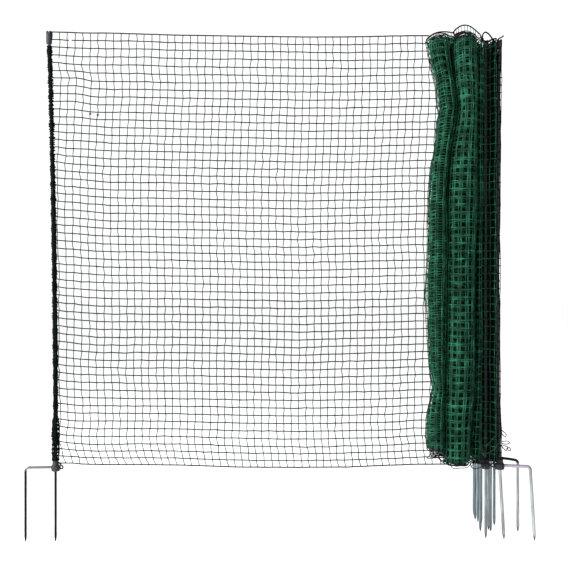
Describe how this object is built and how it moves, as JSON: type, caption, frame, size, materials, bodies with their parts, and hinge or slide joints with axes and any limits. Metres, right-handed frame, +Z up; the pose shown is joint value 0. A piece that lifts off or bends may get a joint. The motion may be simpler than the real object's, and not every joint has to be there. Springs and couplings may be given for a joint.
{
  "type": "dog fence netting",
  "caption": "Fence netting on slim posts with double ground prongs, its first stretch spread and the rest rolled up upright.",
  "frame": {"origin": "below the middle of the whole part, on the level of the prong tips", "axes": "+X along the spread netting from the end post to the rolls, +Y from its front to its back, +Z up the posts"},
  "size_m": [1.0426, 0.2502, 1.0467],
  "materials": {
    "netting": "dark green polyethylene netting, slightly shiny threads",
    "border_cord": "black twisted border cord",
    "post_plastic": "black plastic rod with a soft sheen",
    "collar_plastic": "black moulded plastic",
    "prong_steel": "zinc-plated steel rod, dull blue-grey"
  },
  "bodies": {
    "root": {"foot_1": "prong_steel", "foot_2": "prong_steel", "foot_3": "prong_steel", "foot_4": "prong_steel", "foot_5": "prong_steel", "foot_6": "prong_steel", "foot_7": "prong_steel", "collar_1": "collar_plastic", "collar_2": "collar_plastic", "collar_3": "collar_plastic", "collar_4": "collar_plastic", "collar_5": "collar_plastic", "collar_6": "collar_plastic", "collar_7": "collar_plastic", "post_1": "post_plastic", "post_2": "post_plastic", "post_3": "post_plastic", "post_4": "post_plastic", "post_5": "post_plastic", "post_6": "post_plastic", "post_7": "post_plastic", "head_1": "collar_plastic", "head_2": "collar_plastic", "head_3": "collar_plastic", "head_4": "collar_plastic", "head_5": "collar_plastic", "head_6": "collar_plastic", "head_7": "collar_plastic", "end_winding": "netting", "net_cross_strands": "netting", "net_upright_strands": "netting", "bottom_cord": "border_cord", "top_cord": "border_cord", "rolled_net_1": "netting", "rolled_net_2": "netting", "rolled_net_3": "netting", "rolled_net_4": "netting", "rolled_net_5": "netting", "rolled_net_6": "netting", "rolled_net_7": "netting", "rolled_net_8": "netting", "rolled_net_9": "netting"}
  },
  "joints": []
}
